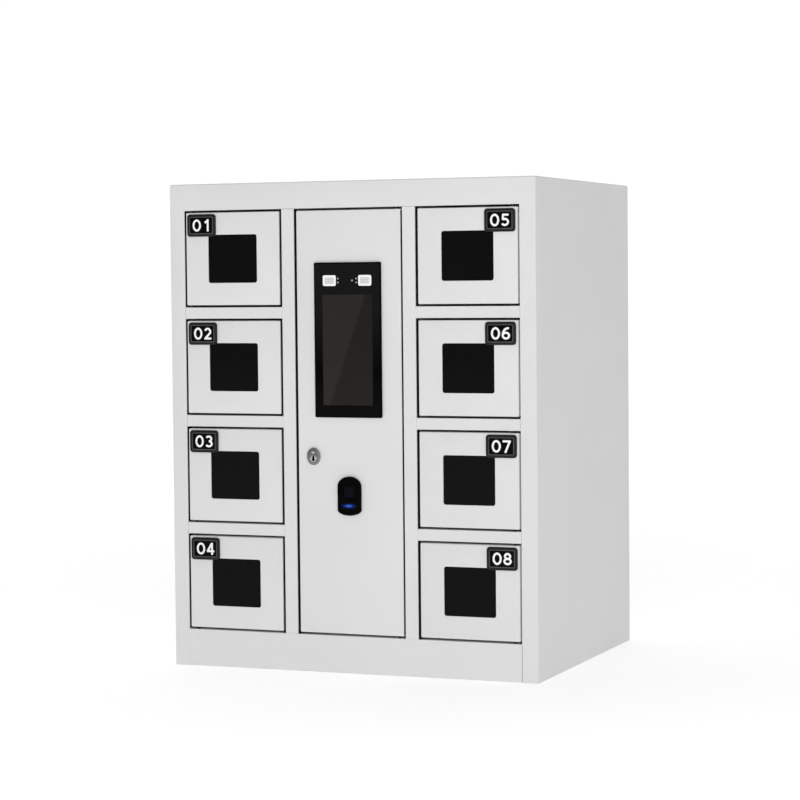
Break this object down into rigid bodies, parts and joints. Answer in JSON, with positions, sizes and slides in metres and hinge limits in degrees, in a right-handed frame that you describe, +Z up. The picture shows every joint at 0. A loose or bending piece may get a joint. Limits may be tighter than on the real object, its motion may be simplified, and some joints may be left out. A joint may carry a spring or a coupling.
{
  "type": "phone charging kiosk",
  "caption": "Floor or counter cabinet of sheet steel with numbered charging compartments behind windowed doors, and a control door with a face terminal, fingerprint reader and cam lock.",
  "frame": {"origin": "middle of the footprint on the floor", "axes": "+Z up, doors face -Y, +X to the right of someone facing the doors"},
  "size_m": [0.52, 0.415, 0.65],
  "materials": {
    "light_grey_paint": "light grey powder coat, fine satin texture",
    "smoked_acrylic": "black smoked acrylic sheet, glossy",
    "black_plastic": "black moulded plastic, satin",
    "screen_glass": "black cover glass over a screen, glossy",
    "zinc_plate": "zinc plated steel, satin",
    "polished_steel": "nickel plated, bright",
    "unit_case": "black moulded case, satin"
  },
  "bodies": {
    "cabinet": {"cabinet_shell": "light_grey_paint", "base_panel": "light_grey_paint", "back_panel": "light_grey_paint", "left_partition": "light_grey_paint", "right_partition": "light_grey_paint", "left_shelf_1": "light_grey_paint", "left_shelf_2": "light_grey_paint", "left_shelf_3": "light_grey_paint", "right_shelf_1": "light_grey_paint", "right_shelf_2": "light_grey_paint", "right_shelf_3": "light_grey_paint", "left_charging_panel": "light_grey_paint", "right_charging_panel": "light_grey_paint", "lock_body_01": "zinc_plate", "lock_body_02": "zinc_plate", "lock_body_03": "zinc_plate", "lock_body_04": "zinc_plate", "lock_body_05": "zinc_plate", "lock_body_06": "zinc_plate", "lock_body_07": "zinc_plate", "lock_body_08": "zinc_plate", "power_control_unit": "unit_case"},
    "compartment_door_01": {"door_01": "light_grey_paint", "window_01": "smoked_acrylic", "number_plate_01": "black_plastic"},
    "bolt_01": {"lock_bolt_01": "polished_steel"},
    "compartment_door_02": {"door_02": "light_grey_paint", "window_02": "smoked_acrylic", "number_plate_02": "black_plastic"},
    "bolt_02": {"lock_bolt_02": "polished_steel"},
    "compartment_door_03": {"door_03": "light_grey_paint", "window_03": "smoked_acrylic", "number_plate_03": "black_plastic"},
    "bolt_03": {"lock_bolt_03": "polished_steel"},
    "compartment_door_04": {"door_04": "light_grey_paint", "window_04": "smoked_acrylic", "number_plate_04": "black_plastic"},
    "bolt_04": {"lock_bolt_04": "polished_steel"},
    "compartment_door_05": {"door_05": "light_grey_paint", "window_05": "smoked_acrylic", "number_plate_05": "black_plastic"},
    "bolt_05": {"lock_bolt_05": "polished_steel"},
    "compartment_door_06": {"door_06": "light_grey_paint", "window_06": "smoked_acrylic", "number_plate_06": "black_plastic"},
    "bolt_06": {"lock_bolt_06": "polished_steel"},
    "compartment_door_07": {"door_07": "light_grey_paint", "window_07": "smoked_acrylic", "number_plate_07": "black_plastic"},
    "bolt_07": {"lock_bolt_07": "polished_steel"},
    "compartment_door_08": {"door_08": "light_grey_paint", "window_08": "smoked_acrylic", "number_plate_08": "black_plastic"},
    "bolt_08": {"lock_bolt_08": "polished_steel"},
    "control_door_assembly": {"control_door": "light_grey_paint", "terminal_case": "black_plastic", "terminal_glass": "screen_glass", "fingerprint_reader": "black_plastic", "cam_lock_barrel": "polished_steel"},
    "cam_plug": {"cam_lock_plug": "zinc_plate"}
  },
  "joints": [
    {"name": "door_01_hinge", "type": "hinge", "parent": "cabinet", "child": "compartment_door_01", "pos_m": [-0.2275, -0.1965, 0.5495], "axis": [0, 0, -1], "range_deg": [0, 100]},
    {"name": "bolt_01_slide", "type": "slide", "parent": "cabinet", "child": "bolt_01", "axis": [-1, 0, 0], "range_m": [0, 0.01]},
    {"name": "door_02_hinge", "type": "hinge", "parent": "cabinet", "child": "compartment_door_02", "pos_m": [-0.2275, -0.1965, 0.4045], "axis": [0, 0, -1], "range_deg": [0, 100]},
    {"name": "bolt_02_slide", "type": "slide", "parent": "cabinet", "child": "bolt_02", "axis": [-1, 0, 0], "range_m": [0, 0.01]},
    {"name": "door_03_hinge", "type": "hinge", "parent": "cabinet", "child": "compartment_door_03", "pos_m": [-0.2275, -0.1965, 0.2595], "axis": [0, 0, -1], "range_deg": [0, 100]},
    {"name": "bolt_03_slide", "type": "slide", "parent": "cabinet", "child": "bolt_03", "axis": [-1, 0, 0], "range_m": [0, 0.01]},
    {"name": "door_04_hinge", "type": "hinge", "parent": "cabinet", "child": "compartment_door_04", "pos_m": [-0.2275, -0.1965, 0.1145], "axis": [0, 0, -1], "range_deg": [0, 100]},
    {"name": "bolt_04_slide", "type": "slide", "parent": "cabinet", "child": "bolt_04", "axis": [-1, 0, 0], "range_m": [0, 0.01]},
    {"name": "door_05_hinge", "type": "hinge", "parent": "cabinet", "child": "compartment_door_05", "pos_m": [0.2275, -0.1965, 0.5495], "axis": [0, 0, 1], "range_deg": [0, 100]},
    {"name": "bolt_05_slide", "type": "slide", "parent": "cabinet", "child": "bolt_05", "axis": [1, 0, 0], "range_m": [0, 0.01]},
    {"name": "door_06_hinge", "type": "hinge", "parent": "cabinet", "child": "compartment_door_06", "pos_m": [0.2275, -0.1965, 0.4045], "axis": [0, 0, 1], "range_deg": [0, 100]},
    {"name": "bolt_06_slide", "type": "slide", "parent": "cabinet", "child": "bolt_06", "axis": [1, 0, 0], "range_m": [0, 0.01]},
    {"name": "door_07_hinge", "type": "hinge", "parent": "cabinet", "child": "compartment_door_07", "pos_m": [0.2275, -0.1965, 0.2595], "axis": [0, 0, 1], "range_deg": [0, 100]},
    {"name": "bolt_07_slide", "type": "slide", "parent": "cabinet", "child": "bolt_07", "axis": [1, 0, 0], "range_m": [0, 0.01]},
    {"name": "door_08_hinge", "type": "hinge", "parent": "cabinet", "child": "compartment_door_08", "pos_m": [0.2275, -0.1965, 0.1145], "axis": [0, 0, 1], "range_deg": [0, 100]},
    {"name": "bolt_08_slide", "type": "slide", "parent": "cabinet", "child": "bolt_08", "axis": [1, 0, 0], "range_m": [0, 0.01]},
    {"name": "control_door_hinge", "type": "hinge", "parent": "cabinet", "child": "control_door_assembly", "pos_m": [0.0665, -0.1965, 0.332], "axis": [0, 0, 1], "range_deg": [0, 100]},
    {"name": "cam_lock_turn", "type": "hinge", "parent": "control_door_assembly", "child": "cam_plug", "pos_m": [-0.0513, -0.2025, 0.2842], "axis": [0, -1, 0], "range_deg": [0, 90]}
  ]
}
